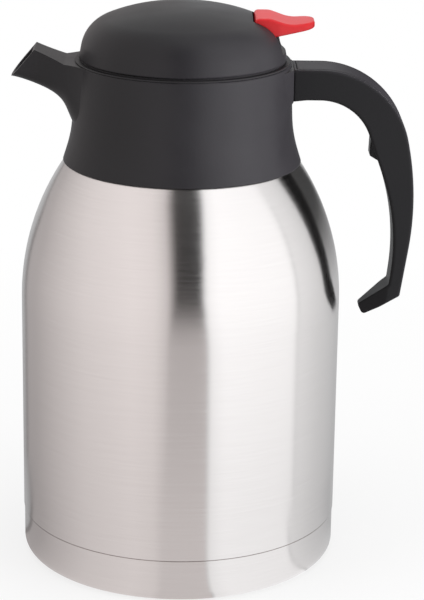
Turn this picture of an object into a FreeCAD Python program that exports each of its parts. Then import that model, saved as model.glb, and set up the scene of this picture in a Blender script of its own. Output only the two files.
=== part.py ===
import FreeCAD
import Part
import Sketcher
import math
import os
from types import SimpleNamespace

# Double-wall steel vacuum jug with a spout collar, an open handle and a screw lid
# whose thumb lever lifts a sprung pour valve. Millimetres, +Z up, the jug's axis on Z,
# the foot on Z = 0, the spout towards -X and the handle towards +X.

SIZES = {
    # Steel double wall
    "body_radius": 75.0,
    "steel_wall": 0.6,
    "vacuum_gap": 6.0,
    "cup_height": 21.0,
    "wall_height": 144.3,
    "shoulder_rise": 39.7,
    "shoulder_radius": 117.0,
    "neck_fillet": 6.0,
    "neck_height": 8.0,
    "mouth_radius": 41.7,
    "neck_gap": 1.1,
    "shell_foot_height": 8.0,
    "flask_floor_height": 17.0,
    "flask_floor_radius": 16.0,
    # Base cup, vacuum base, evacuation plug and getter
    "cup_wall": 0.7,
    "cup_inset": 0.3,
    "cup_fit": 0.05,
    "cup_seam": 0.6,
    "cup_corner_radius": 5.0,
    "cup_recess_radius": 62.0,
    "cup_recess_depth": 1.6,
    "cup_recess_slope": 3.0,
    "base_flange_height": 4.0,
    "base_bend_radius": 2.5,
    "plug_hole_radius": 2.0,
    "plug_head_radius": 4.5,
    "plug_head_height": 1.2,
    "getter_radius": 6.0,
    "getter_height": 1.0,
    "getter_reach": 32.0,
    # Collar
    "gasket_height": 2.2,
    "gasket_clearance": 0.2,
    "thread_length": 6.0,
    "thread_clearance": 0.6,
    "pour_height": 16.0,
    "skirt_drop": 13.5,
    "skirt_clearance": 0.1,
    "collar_radius": 49.8,
    "collar_bore": 46.0,
    "collar_waist": 51.1,
    "collar_flare_height": 13.0,
    "collar_flare_radius": 60.0,
    "collar_lip": 0.55,
    "collar_edge_radius": 0.5,
    # Spout
    "spout_wall": 2.0,
    "spout_half_width": 9.4,
    "spout_side_blend": 28.0,
    "spout_roof_bend": 54.0,
    "spout_lip_reach": 67.6,
    "spout_lip_rise": 5.9,
    "spout_tip_reach": 78.9,
    "spout_tip_drop": 7.7,
    "spout_lip_depth": 10.8,
    "spout_throat_reach": 60.0,
    "spout_throat_depth": 14.4,
    "spout_neck_reach": 54.5,
    "spout_neck_depth": 19.5,
    "spout_root_reach": 51.9,
    "spout_root_depth": 25.0,
    "spout_heel_reach": 47.5,
    "spout_heel_depth": 33.0,
    "spout_seat_depth": 39.0,
    "spout_channel_sill": 1.2,
    # Handle
    "boss_face_reach": 50.6,
    "boss_flare_depth": 5.0,
    "boss_side_flare": 8.0,
    "handle_drop": 1.7,
    "handle_root_height": 14.1,
    "handle_root_width": 24.0,
    "handle_tail_width": 14.5,
    "handle_edge_radius": 1.2,
    "root_flare": 0.7,
    "root_flare_run": 6.0,
    "top_run": 12.8,
    "bend_radius": 41.7,
    "grip_lean": 12.2,
    "grip_run": 1.6,
    "grip_radius": 146.0,
    "heel_lean": 8.0,
    "heel_run": 23.2,
    "toe_run": 17.0,
    "toe_fall": 10.2,
    "toe_radius": 1.5,
    "toe_tip_run": 2.4,
    "toe_tip_rise": 4.7,
    "toe_tip_width": 5.0,
    "instep_back": 5.4,
    "instep_rise": 5.7,
    "palm_out": 3.4,
    "palm_rise": 30.2,
    "palm_radius": 106.0,
    "arch_back": 16.9,
    "arch_radius": 24.4,
    "stop_width": 9.0,
    "stop_back": 9.9,
    "stop_drop": 19.1,
    "stop_tip_back": 0.3,
    "stop_tip_fall": 8.0,
    "stop_foot_out": 5.0,
    "stop_foot_fall": 11.2,
    "stop_radius": 0.8,
    # Handle cover and screws
    "cover_thickness": 2.4,
    "cover_rim": 2.6,
    "cover_clearance": 0.3,
    "cover_start": 1.6,
    "cover_tail_short": 7.0,
    "channel_depth": 1.8,
    "screw_radius": 1.5,
    "screw_head_radius": 2.9,
    "screw_head_height": 2.2,
    "screw_clearance": 0.2,
    "screw_fit": 0.05,
    "screw_bite": 3.2,
    "screw_spread": 5.0,
    "screw_drop": 8.6,
    "screw_seat": 4.0,
    # Lid cover
    "lid_seal_height": 1.2,
    "lid_seal_inner": 44.0,
    "lid_seal_outer": 47.0,
    "lid_foot_radius": 47.8,
    "lid_shoulder_radius": 44.9,
    "lid_shoulder_rise": 15.0,
    "lid_shoulder_round": 17.0,
    "lid_crown_flat": 21.2,
    "lid_rise": 24.8,
    "lid_wall": 2.2,
    "lid_ledge": 0.8,
    "lid_slot_reach": 31.5,
    "lid_slot_half_width": 13.0,
    "lid_slot_sill": 4.0,
    "lid_slot_round": 2.0,
    # Stopper
    "flange_radius": 46.1,
    "flange_height": 2.5,
    "flange_clearance": 0.1,
    "stopper_radius": 40.6,
    "stopper_wall": 2.5,
    "stopper_depth": 12.0,
    "stopper_floor": 2.5,
    "plate_ledge": 1.0,
    "plate_fit": 0.1,
    "window_half_width": 9.0,
    "window_sill": 1.5,
    "window_height": 10.0,
    "window_round": 2.0,
    "window_count": 8,
    "seal_groove_depth": 1.4,
    "seal_height": 4.0,
    "seal_rise": 3.0,
    "seal_clearance": 0.3,
    # Guide plate, lever pin and lever
    "plate_height": 2.5,
    "plate_drop": 1.7,
    "guide_boss_radius": 6.5,
    "guide_boss_depth": 9.0,
    "pivot_reach": 33.0,
    "pivot_rise": 7.3,
    "lug_radius": 4.5,
    "lug_inner": 12.6,
    "lug_outer": 16.0,
    "pin_radius": 1.5,
    "pin_clearance": 0.06,
    "lever_half_width": 12.2,
    "lever_tip_round": 7.0,
    "lever_tip_reach": 59.8,
    "lever_front_gap": 0.8,
    "lever_crest_rise": 20.7,
    "lever_crest_reach": 39.5,
    "lever_saddle_reach": 48.3,
    "lever_saddle_rise": 17.6,
    "lever_tip_rise": 18.7,
    "lever_tip_thickness": 3.0,
    "lever_under_reach": 41.0,
    "lever_under_rise": 12.1,
    "lever_waist_reach": 44.0,
    "lever_tip_half_width": 9.2,
    "lever_edge_radius": 0.9,
    "hub_radius": 4.2,
    "arm_half_width": 7.0,
    "arm_thickness": 3.2,
    "arm_lift_gap": 0.5,
    "fork_clearance": 0.5,
    "fork_run": 1.5,
    # Valve and return spring
    "port_radius": 13.0,
    "seat_width": 1.6,
    "seat_height": 1.2,
    "valve_seal_radius": 15.6,
    "valve_seal_bore": 8.0,
    "valve_seal_height": 2.0,
    "valve_plug_radius": 16.4,
    "valve_plug_height": 3.0,
    "valve_hub_radius": 5.5,
    "valve_hub_height": 5.0,
    "stem_radius": 3.0,
    "stem_clearance": 0.06,
    "stem_flange_radius": 6.5,
    "stem_flange_height": 1.9,
    "stem_flange_gap": 0.3,
    "stem_pin_radius": 3.6,
    "stem_pin_height": 6.0,
    "o_ring_wire": 0.8,
    "spring_radius": 5.5,
    "spring_wire": 1.1,
    "spring_turns": 5,
    "spring_gap": 0.05,
    "spring_seat_depth": 2.0,
    "spring_socket_radius": 7.4,
    "spring_socket_wall": 1.8,
    "spring_socket_depth": 4.0,
}


class Size:
    """A number together with the sheet expression that it comes from."""

    def __init__(self, value, text):
        self.value = value
        self.text = text

    def __add__(self, other):
        other = as_size(other)
        return Size(self.value + other.value, f"({self.text} + {other.text})")

    def __sub__(self, other):
        other = as_size(other)
        return Size(self.value - other.value, f"({self.text} - {other.text})")

    def __mul__(self, other):
        other = as_size(other)
        return Size(self.value * other.value, f"({self.text} * {other.text})")

    def __truediv__(self, other):
        other = as_size(other)
        return Size(self.value / other.value, f"({self.text} / {other.text})")

    def __neg__(self):
        return as_size(0) - self

    def __radd__(self, other):
        return as_size(other) + self

    def __rsub__(self, other):
        return as_size(other) - self

    def __rmul__(self, other):
        return as_size(other) * self


def as_size(number):
    if isinstance(number, Size):
        return number
    return Size(float(number), str(number))


def diagonal(a, b):
    """Length of the slope with these two legs."""
    return Size(math.hypot(a.value, b.value), f"sqrt({a.text}^2 + {b.text}^2)")


def diagonal_leg(slope, leg):
    """The other leg of a slope with this length and one leg."""
    return Size(math.sqrt(slope.value ** 2 - leg.value ** 2), f"sqrt({slope.text}^2 - {leg.text}^2)")


def of_angle(function, degrees):
    """The sine, cosine or tangent of an angle in degrees."""
    angle = as_size(degrees)
    return Size(getattr(math, function)(math.radians(angle.value)), f"{function}({angle.text})")


doc = FreeCAD.newDocument("vacuum_jug")
sheet = doc.addObject("Spreadsheet::Sheet", "sizes")
for row, (alias, number) in enumerate(SIZES.items(), start=1):
    sheet.set(f"A{row}", alias)
    sheet.set(f"B{row}", str(number))
    sheet.setAlias(f"B{row}", alias)
doc.recompute()

d = SimpleNamespace(**{name: Size(float(sheet.get(name)), f"sizes.{name}") for name in SIZES})
pieces = {}


# Drawing helpers

def bind(thing, path, size):
    """Tie one property of an object to the sheet."""
    thing.setExpression(path, as_size(size).text)


def new_body(name):
    return doc.addObject("PartDesign::Body", name)


def new_sketch(body, name, plane, shift=None, rise=None):
    """An empty sketch on one of the body's own planes, moved along its normal and upwards."""
    sketch = body.newObject("Sketcher::SketchObject", name)
    support = next(item for item in body.Origin.OriginFeatures if item.Role == plane)
    sketch.AttachmentSupport = [(support, "")]
    sketch.MapMode = "FlatFace"
    for path, size in (("AttachmentOffset.Base.z", shift), ("AttachmentOffset.Base.y", rise)):
        if size is not None:
            bind(sketch, path, size)
    return sketch


def fix_point(sketch, geometry, end, x, y):
    """Hold a point of the sketch at sheet coordinates."""
    for kind, axis, size in (("DistanceX", -2, as_size(x)), ("DistanceY", -1, as_size(y))):
        if size.text == "0":
            sketch.addConstraint(Sketcher.Constraint("PointOnObject", geometry, end, axis))
        else:
            index = sketch.addConstraint(Sketcher.Constraint(kind, -1, 1, geometry, end, size.value))
            bind(sketch, f"Constraints[{index}]", size)


def corner_arc(before, point, after, radius):
    """Where a round of this radius meets the two sides of a corner, with its arc."""
    inward = (point - before).normalize()
    outward = (after - point).normalize()
    turn = inward.x * outward.y - inward.y * outward.x
    reach = radius * math.tan(inward.getAngle(outward) / 2)
    enter = point - inward * reach
    leave = point + outward * reach
    side = 1 if turn > 0 else -1
    centre = enter + FreeCAD.Vector(-inward.y, inward.x, 0) * (side * radius)
    first, last = (enter, leave) if side > 0 else (leave, enter)
    angles = [math.atan2(spot.y - centre.y, spot.x - centre.x) for spot in (first, last)]
    if angles[1] < angles[0]:
        angles[1] += 2 * math.pi
    circle = Part.Circle(centre, FreeCAD.Vector(0, 0, 1), radius)
    arc = Part.ArcOfCircle(circle, angles[0], angles[1])
    return enter, leave, arc, (1, 2) if side > 0 else (2, 1)


def draw(sketch, corners, closed=True):
    """Straight sides between corners (x, y) or rounded corners (x, y, radius)."""
    count = len(corners)
    spots = [FreeCAD.Vector(as_size(corner[0]).value, as_size(corner[1]).value, 0) for corner in corners]
    rounds = {}
    for i, corner in enumerate(corners):
        if len(corner) > 2:
            rounds[i] = corner_arc(spots[i - 1], spots[i], spots[(i + 1) % count], as_size(corner[2]).value)
    sides = {}
    for i in range(count if closed else count - 1):
        j = (i + 1) % count
        start = rounds[i][1] if i in rounds else spots[i]
        end = rounds[j][0] if j in rounds else spots[j]
        sides[i] = sketch.addGeometry(Part.LineSegment(start, end), False)
    for i, corner in enumerate(corners):
        before = sides.get((i - 1) % count)
        after = sides.get(i)
        if i in rounds:
            arc = sketch.addGeometry(rounds[i][2], False)
            mark = sketch.addGeometry(Part.Point(spots[i]), True)
            fix_point(sketch, mark, 1, corner[0], corner[1])
            enter_end, leave_end = rounds[i][3]
            sketch.addConstraint(Sketcher.Constraint("PointOnObject", mark, 1, before))
            sketch.addConstraint(Sketcher.Constraint("PointOnObject", mark, 1, after))
            sketch.addConstraint(Sketcher.Constraint("Tangent", before, 2, arc, enter_end))
            sketch.addConstraint(Sketcher.Constraint("Tangent", after, 1, arc, leave_end))
            index = sketch.addConstraint(Sketcher.Constraint("Radius", arc, as_size(corner[2]).value))
            bind(sketch, f"Constraints[{index}]", corner[2])
        elif before is None:
            fix_point(sketch, after, 1, corner[0], corner[1])
        elif after is None:
            fix_point(sketch, before, 2, corner[0], corner[1])
        else:
            sketch.addConstraint(Sketcher.Constraint("Coincident", before, 2, after, 1))
            fix_point(sketch, after, 1, corner[0], corner[1])


def outline(body, name, plane, corners, shift=None):
    sketch = new_sketch(body, name, plane, shift)
    draw(sketch, corners)
    return sketch


def circles(body, name, plane, centres, radius, shift=None):
    """A sketch of equal circles."""
    sketch = new_sketch(body, name, plane, shift)
    for x, y in centres:
        place = FreeCAD.Vector(as_size(x).value, as_size(y).value, 0)
        circle = Part.Circle(place, FreeCAD.Vector(0, 0, 1), as_size(radius).value)
        geometry = sketch.addGeometry(circle, False)
        fix_point(sketch, geometry, 3, x, y)
        index = sketch.addConstraint(Sketcher.Constraint("Radius", geometry, as_size(radius).value))
        bind(sketch, f"Constraints[{index}]", radius)
    return sketch


def revolve(body, name, sketch, axis, kind="Revolution"):
    """Turn a sketch into a solid, or with kind Groove into a turned cut."""
    turned = body.newObject(f"PartDesign::{kind}", name)
    turned.Profile = sketch
    turned.ReferenceAxis = (sketch, [axis])
    turned.Angle = 360
    return turned


def turn_solid(body, name, corners):
    """Turn a half section about the jug's axis."""
    return revolve(body, name, outline(body, f"{name}_section", "XZ_Plane", corners), "V_Axis")


def prism(body, kind, name, sketch, length, symmetric=False, backwards=False):
    """A Pad or a Pocket of a sketch."""
    feature = body.newObject(f"PartDesign::{kind}", name)
    feature.Profile = sketch
    feature.SideType = "Symmetric" if symmetric else "One side"
    feature.Reversed = backwards
    bind(feature, "Length", length)
    return feature


def loft(body, kind, name, sections, ruled=False):
    feature = body.newObject(f"PartDesign::{kind}", name)
    feature.Profile = sections[0]
    feature.Sections = sections[1:]
    feature.Ruled = ruled
    return feature


def turned_piece(name, corners):
    """A whole piece that is one turned section."""
    body = new_body(name)
    turn_solid(body, f"{name}_turned", corners)
    pieces[name] = body


def round_edges(body, name, base, radius, wanted):
    """Round the edges of the last feature for which wanted(edge, its faces) holds."""
    doc.recompute()
    shape = base.Shape
    names = []
    for i, edge in enumerate(shape.Edges, start=1):
        if wanted(edge, shape.ancestorsOfType(edge, Part.Face)):
            names.append(f"Edge{i}")
    feature = body.newObject("PartDesign::Fillet", name)
    feature.Base = (base, names)
    bind(feature, "Radius", radius)
    return feature


def faces_sideways(face):
    """Whether a flat face looks to the jug's left or right, seen along the handle."""
    return abs(face.normalAt(0, 0).y) > 0.9


def boolean(kind, name, base, tool):
    result = doc.addObject(f"Part::{kind}", name)
    result.Base = base
    result.Tool = tool
    return result


def box_corners(left, right, low, high, radius=None):
    """Four corners of a rectangle, all rounded alike where a radius is given."""
    corners = [(left, low), (right, low), (right, high), (left, high)]
    if radius is None:
        return corners
    return [(x, y, radius) for x, y in corners]


# Heights stacked from the foot upwards

seam = d.cup_height
shoulder_corner = seam + d.wall_height
neck_foot = shoulder_corner + d.shoulder_rise
rim = neck_foot + d.neck_height
lip_top = rim + d.steel_wall
gasket_top = lip_top + d.gasket_height
thread_top = gasket_top + d.thread_length
collar_top = thread_top + d.pour_height
collar_foot = neck_foot - d.skirt_drop
lid_foot = collar_top + d.lid_seal_height
flange_top = lid_foot + d.flange_height
stopper_foot = rim - d.stopper_depth
stopper_inside = stopper_foot + d.stopper_floor
plate_foot = flange_top - d.plate_drop - d.plate_height - d.flange_height
plate_top = plate_foot + d.plate_height
handle_top = collar_top - d.handle_drop

# Radii and slopes that several pieces share

flask_neck = d.mouth_radius + d.steel_wall
neck_radius = flask_neck + d.neck_gap + d.steel_wall
cup_radius = d.body_radius - d.cup_inset
shell_foot_radius = cup_radius - d.cup_wall - d.cup_fit
shoulder_run = d.body_radius - neck_radius
shoulder_slope = d.shoulder_rise / shoulder_run
half_turn = (diagonal(shoulder_run, d.shoulder_rise) - d.shoulder_rise) / shoulder_run
thread_bore = d.mouth_radius + d.thread_clearance
bend_start = d.boss_face_reach + d.top_run
bend_cut = d.bend_radius * of_angle("tan", (90 - d.grip_lean) / 2)
grip_cut = d.grip_radius * of_angle("tan", (d.grip_lean + d.heel_lean) / 2)
grip_side = bend_cut + d.grip_run + grip_cut
bend_reach = bend_start + bend_cut
grip_reach = bend_reach + grip_side * of_angle("sin", d.grip_lean)
grip_height = handle_top - grip_side * of_angle("cos", d.grip_lean)
heel_drop = (grip_cut + d.heel_run) * of_angle("cos", d.heel_lean)
handle_foot = grip_height - heel_drop - d.toe_fall


# Steel double wall

def outer_shell():
    wall = d.steel_wall
    turned_piece("outer_shell", [
        (shell_foot_radius, d.shell_foot_height),
        (shell_foot_radius, seam),
        (d.body_radius, seam),
        (d.body_radius, shoulder_corner, d.shoulder_radius),
        (neck_radius, neck_foot, d.neck_fillet),
        (neck_radius, rim),
        (neck_radius - wall, rim),
        (neck_radius - wall, neck_foot - wall * half_turn, d.neck_fillet + wall),
        (d.body_radius - wall, shoulder_corner - wall * half_turn, d.shoulder_radius - wall),
        (d.body_radius - wall, seam + wall),
        (shell_foot_radius - wall, seam + wall),
        (shell_foot_radius - wall, d.shell_foot_height),
    ])


def inner_flask():
    wall = d.steel_wall
    gap = d.vacuum_gap
    side = d.body_radius - gap
    corner = shoulder_corner - gap * half_turn
    foot = corner + (side - flask_neck) * shoulder_slope
    turned_piece("inner_flask", [
        (0, d.flask_floor_height),
        (side, d.flask_floor_height, d.flask_floor_radius),
        (side, corner, d.shoulder_radius - gap),
        (flask_neck, foot, d.neck_fillet + gap),
        (flask_neck, rim),
        (neck_radius, rim),
        (neck_radius, lip_top),
        (d.mouth_radius, lip_top),
        (d.mouth_radius, foot - wall * half_turn, d.neck_fillet + gap + wall),
        (side - wall, corner - wall * half_turn, d.shoulder_radius - gap - wall),
        (side - wall, d.flask_floor_height + wall, d.flask_floor_radius - wall),
        (0, d.flask_floor_height + wall),
    ])


def vacuum_base():
    wall = d.steel_wall
    side = shell_foot_radius - wall
    top = d.shell_foot_height + d.base_flange_height
    turned_piece("vacuum_base", [
        (d.plug_hole_radius, top),
        (side, top, d.base_bend_radius),
        (side, d.shell_foot_height),
        (side - wall, d.shell_foot_height),
        (side - wall, top - wall, d.base_bend_radius - wall),
        (d.plug_hole_radius, top - wall),
    ])
    turned_piece("vacuum_plug", [
        (0, top),
        (d.plug_hole_radius, top),
        (d.plug_hole_radius, top - wall),
        (d.plug_head_radius, top - wall),
        (d.plug_head_radius, top - wall - d.plug_head_height, d.plug_head_height / 2),
        (0, top - wall - d.plug_head_height),
    ])
    getter = doc.addObject("Part::Cylinder", "getter")
    bind(getter, "Radius", d.getter_radius)
    bind(getter, "Height", d.getter_height)
    bind(getter, "Placement.Base.x", d.getter_reach)
    bind(getter, "Placement.Base.z", top)
    pieces["getter"] = getter


def base_cup():
    wall = d.cup_wall
    ring = d.cup_recess_radius
    dish = ring - d.cup_recess_slope
    turned_piece("base_cup", [
        (0, d.cup_recess_depth),
        (dish, d.cup_recess_depth),
        (ring, 0),
        (cup_radius, 0, d.cup_corner_radius),
        (cup_radius, seam - d.cup_seam),
        (cup_radius - wall, seam - d.cup_seam),
        (cup_radius - wall, wall, d.cup_corner_radius - wall),
        (ring + wall, wall),
        (dish + wall, d.cup_recess_depth + wall),
        (0, d.cup_recess_depth + wall),
    ])


# Collar with its spout and the boss that carries the handle

def spout_blend_reach():
    """How far out the rounds between the spout's sides and the collar's wall have their centres."""
    return diagonal_leg(d.collar_radius + d.spout_side_blend, d.spout_half_width + d.spout_side_blend)


def spout_half_width(reach):
    """Half the spout's width, with sides that sweep out to meet the collar's round wall."""
    blend = d.spout_side_blend
    if reach.value >= spout_blend_reach().value:
        return d.spout_half_width
    return d.spout_half_width + blend - diagonal_leg(blend, spout_blend_reach() - reach)


def spout_roof(reach):
    """Height of the spout's flat top, level with the collar and then rising to the lip."""
    if reach.value <= d.spout_roof_bend.value:
        return collar_top
    run = d.spout_lip_reach - d.spout_roof_bend
    return collar_top + (reach - d.spout_roof_bend) * d.spout_lip_rise / run


def spout_section(body, name, reach, half_width, top, floor):
    """A flat-topped U across the spout at one distance from the jug's axis."""
    bend = half_width * 4 / 5
    corners = [
        (-half_width, top),
        (-half_width, floor, bend),
        (half_width, floor, bend),
        (half_width, top),
    ]
    return outline(body, name, "YZ_Plane", corners, -reach)


def add_spout(body):
    tip = d.spout_tip_reach
    beyond = tip + d.spout_wall
    tip_slope = (d.spout_lip_depth - d.spout_tip_drop) / (tip - d.spout_lip_reach)
    seat = spout_blend_reach() * d.collar_radius / (d.collar_radius + d.spout_side_blend)
    floors = [
        (beyond, collar_top - d.spout_tip_drop + d.spout_wall * tip_slope),
        (d.spout_lip_reach, collar_top - d.spout_lip_depth),
        (d.spout_throat_reach, collar_top - d.spout_throat_depth),
        (d.spout_neck_reach, collar_top - d.spout_neck_depth),
        (d.spout_root_reach, collar_top - d.spout_root_depth),
        (d.spout_heel_reach, collar_top - d.spout_heel_depth),
        (seat, collar_top - d.spout_seat_depth),
    ]
    outside = []
    inside = []
    channel_floor = thread_top + d.spout_channel_sill
    wall = d.spout_wall
    above = spout_roof(beyond) + wall
    for i, (reach, floor) in enumerate(floors):
        half = spout_half_width(reach)
        outside.append(spout_section(body, f"spout_{i}", reach, half, above, floor))
        if i < 3:
            roof = spout_roof(reach) - wall
            inside.append(spout_section(body, f"channel_{i}", reach, half - wall, roof, floor + wall))
    inner_reach = d.collar_bore - 2 * wall
    for reach in (d.spout_neck_reach, inner_reach):
        roof = collar_top - wall
        name = f"channel_{len(inside)}"
        inside.append(spout_section(body, name, reach, d.spout_half_width - wall, roof, channel_floor))
    loft(body, "AdditiveLoft", "spout", outside)
    far = 2 * tip
    roof = outline(body, "roof_cut", "XZ_Plane", [
        (as_size(0), collar_top),
        (-d.spout_roof_bend, collar_top),
        (-far, spout_roof(far)),
        (-far, spout_roof(far) + far),
        (as_size(0), spout_roof(far) + far),
    ])
    prism(body, "Pocket", "spout_top", roof, far, symmetric=True)
    loft(body, "SubtractiveLoft", "spout_channel", inside, ruled=True)

    lip = (-d.spout_lip_reach, spout_roof(d.spout_lip_reach))
    end = (-tip, collar_top - d.spout_tip_drop)
    mouth = outline(body, "mouth_cut", "XZ_Plane", [
        (2 * lip[0] - end[0], 2 * lip[1] - end[1]),
        (2 * end[0] - lip[0], 2 * end[1] - lip[1]),
        (-far, 2 * end[1] - lip[1]),
        (-far, 2 * lip[1] - end[1]),
    ])
    prism(body, "Pocket", "spout_mouth", mouth, 4 * d.spout_half_width, symmetric=True)


def screw_places():
    height = handle_top - d.screw_drop
    return [(-d.screw_spread, height), (d.screw_spread, height)]


def add_handle_boss(body):
    half = d.handle_root_width / 2
    low = handle_top - d.handle_root_height - d.root_flare
    wide_half = half + d.boss_side_flare
    wide = outline(body, "boss_wide", "YZ_Plane",
                   box_corners(-wide_half, wide_half, low - d.boss_flare_depth, handle_top),
                   d.boss_face_reach - d.boss_flare_depth)
    narrow = outline(body, "boss_narrow", "YZ_Plane",
                     box_corners(-half, half, low, handle_top), d.boss_face_reach)
    loft(body, "AdditiveLoft", "handle_boss", [wide, narrow])


def collar():
    body = new_body("collar")
    gap = d.skirt_clearance
    skirt_bore = neck_radius + gap
    skirt_corner = neck_foot + gap * half_turn
    foot_bore = skirt_bore + (skirt_corner - collar_foot) / shoulder_slope
    turn_solid(body, "collar_ring", [
        (0, collar_foot),
        (foot_bore + d.collar_lip, collar_foot),
        (d.collar_waist, collar_foot + d.collar_flare_height, d.collar_flare_radius),
        (d.collar_radius, collar_top, d.collar_edge_radius),
        (0, collar_top),
    ])
    add_spout(body)
    add_handle_boss(body)
    below = collar_foot - d.skirt_drop
    above = collar_top + d.pour_height
    inside = outline(body, "collar_inside_section", "XZ_Plane", [
        (0, below),
        (skirt_bore + (skirt_corner - below) / shoulder_slope, below),
        (skirt_bore, skirt_corner, d.neck_fillet - gap),
        (skirt_bore, gasket_top),
        (thread_bore, gasket_top),
        (thread_bore, thread_top),
        (d.collar_bore, thread_top),
        (d.collar_bore, above),
        (0, above),
    ])
    revolve(body, "collar_inside", inside, "V_Axis", "Groove")
    holes = circles(body, "pilot_circles", "YZ_Plane", screw_places(),
                    d.screw_radius + d.screw_fit, d.boss_face_reach)
    prism(body, "Pocket", "pilot_holes", holes, d.screw_bite + d.screw_clearance)
    pieces["collar"] = body


def neck_gasket():
    inner = d.mouth_radius + d.gasket_clearance
    turned_piece("neck_gasket", box_corners(inner, neck_radius, lip_top, gasket_top))


# Handle, its cover strip and its screws

def taper_sides(body, name, inset):
    """Cut both sides back to the handle's taper, less an inset."""
    root = d.handle_root_width / 2 - inset
    tail = d.handle_tail_width / 2 - inset
    outer = d.handle_root_width
    sketch = new_sketch(body, f"{name}_taper", "YZ_Plane")
    for side in (-1, 1):
        draw(sketch, [
            (side * root, handle_top),
            (side * tail, handle_foot),
            (side * tail, handle_foot - outer),
            (side * outer, handle_foot - outer),
            (side * outer, handle_top + outer),
            (side * root, handle_top + outer),
        ])
    return prism(body, "Pocket", f"{name}_sides", sketch, 4 * grip_reach, symmetric=True)


def back_line(start_reach, tail_short):
    """The line of the handle's back, from its top round the bend to a point short of the heel."""
    left = grip_cut + d.heel_run - tail_short
    return [
        (start_reach, handle_top),
        (bend_reach, handle_top, d.bend_radius),
        (grip_reach, grip_height, d.grip_radius),
        (grip_reach - left * of_angle("sin", d.heel_lean), grip_height - left * of_angle("cos", d.heel_lean)),
    ]


def back_strip(name, inset, depth, stand, extra):
    """A strip that follows the handle's back, sunk to a depth and standing proud of it."""
    body = new_body(name)
    start = d.boss_face_reach + d.cover_start - extra
    path = new_sketch(body, f"{name}_path", "XZ_Plane")
    draw(path, back_line(start, d.cover_tail_short - extra), closed=False)
    half = d.handle_root_width / 2
    section = outline(body, f"{name}_section", "YZ_Plane",
                      box_corners(-half, half, handle_top - depth, handle_top + stand), start)
    strip = body.newObject("PartDesign::AdditivePipe", f"{name}_strip")
    strip.Profile = section
    strip.Spine = (path, [])
    taper_sides(body, name, inset)
    return body


def narrow_toe(body, instep, tip):
    """Draw the toe in towards its tip, seen from above."""
    lean = (d.handle_root_width - d.handle_tail_width) / (handle_top - handle_foot) / 2
    wide = d.handle_root_width / 2 - (handle_top - instep[1]) * lean
    slim = d.toe_tip_width / 2
    outer = d.handle_root_width
    sketch = new_sketch(body, "toe_plan", "XY_Plane", instep[1])
    for side in (-1, 1):
        draw(sketch, [
            (instep[0], side * wide),
            (tip[0], side * slim),
            (tip[0] - outer, side * slim),
            (tip[0] - outer, side * outer),
            (instep[0], side * outer),
        ])
    prism(body, "Pocket", "toe_sides", sketch, handle_top - handle_foot)


def add_finger_stop(body, root_foot):
    """The hooked rib under the arch that keeps the first finger off the hot wall."""
    reach = bend_reach - d.stop_back
    top = root_foot - d.stop_drop
    foot = (reach + d.stop_foot_out, top - d.stop_foot_fall)
    sketch = outline(body, "stop_outline", "XZ_Plane", [
        (reach, top),
        (reach - d.stop_tip_back, top - d.stop_tip_fall, d.stop_radius),
        foot,
        (foot[0], top),
    ])
    prism(body, "Pad", "finger_stop", sketch, d.stop_width, symmetric=True)


def handle():
    blank = new_body("handle_blank")
    root = d.boss_face_reach
    root_foot = handle_top - d.handle_root_height
    back = back_line(root, as_size(0))
    heel = back.pop()
    toe = (heel[0] - d.toe_run, heel[1] - d.toe_fall)
    tip = (toe[0] - d.toe_tip_run, toe[1] + d.toe_tip_rise)
    instep = (heel[0] - d.instep_back, heel[1] + d.instep_rise)
    side = outline(blank, "handle_side", "XZ_Plane", [
        *back,
        (heel[0], heel[1], d.toe_radius),
        (toe[0], toe[1], d.toe_radius),
        (tip[0], tip[1], d.toe_radius),
        (instep[0], instep[1], d.toe_radius),
        (instep[0] + d.palm_out, instep[1] + d.palm_rise, d.palm_radius),
        (bend_reach - d.arch_back, root_foot, d.arch_radius),
        (root + d.root_flare_run, root_foot, d.arch_radius),
        (root, root_foot - d.root_flare),
    ])
    prism(blank, "Pad", "handle_pad", side, d.handle_root_width, symmetric=True)
    tapered = taper_sides(blank, "handle", as_size(0))

    def side_edge(edge, faces):
        on_side = any(faces_sideways(face) for face in faces)
        return on_side and edge.CenterOfMass.x > root.value + d.handle_edge_radius.value

    round_edges(blank, "handle_rounds", tapered, d.handle_edge_radius, side_edge)
    narrow_toe(blank, instep, tip)
    add_finger_stop(blank, root_foot)
    seat = root + d.screw_seat
    through = circles(blank, "shank_circles", "YZ_Plane", screw_places(),
                      d.screw_radius + d.screw_clearance, seat)
    prism(blank, "Pocket", "shank_holes", through, 2 * d.screw_seat)
    access = circles(blank, "access_circles", "YZ_Plane", screw_places(),
                     d.screw_head_radius + d.screw_clearance, seat)
    prism(blank, "Pocket", "access_holes", access, bend_start + 2 * d.bend_radius / 5 - seat, backwards=True)

    rim_inset = d.cover_rim
    recess = back_strip("cover_recess", rim_inset, d.cover_thickness, d.cover_thickness, d.cover_clearance)
    ledge_inset = d.cover_rim + d.cover_thickness / 2
    hollow = back_strip("cover_hollow", ledge_inset, d.cover_thickness + d.channel_depth,
                        d.cover_thickness, -d.cover_thickness / 2)
    recessed = boolean("Cut", "handle_recessed", blank, recess)
    pieces["handle"] = boolean("Cut", "handle", recessed, hollow)
    pieces["handle_cover"] = back_strip("handle_cover", rim_inset + d.cover_clearance,
                                        d.cover_thickness, 0, as_size(0))


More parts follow.
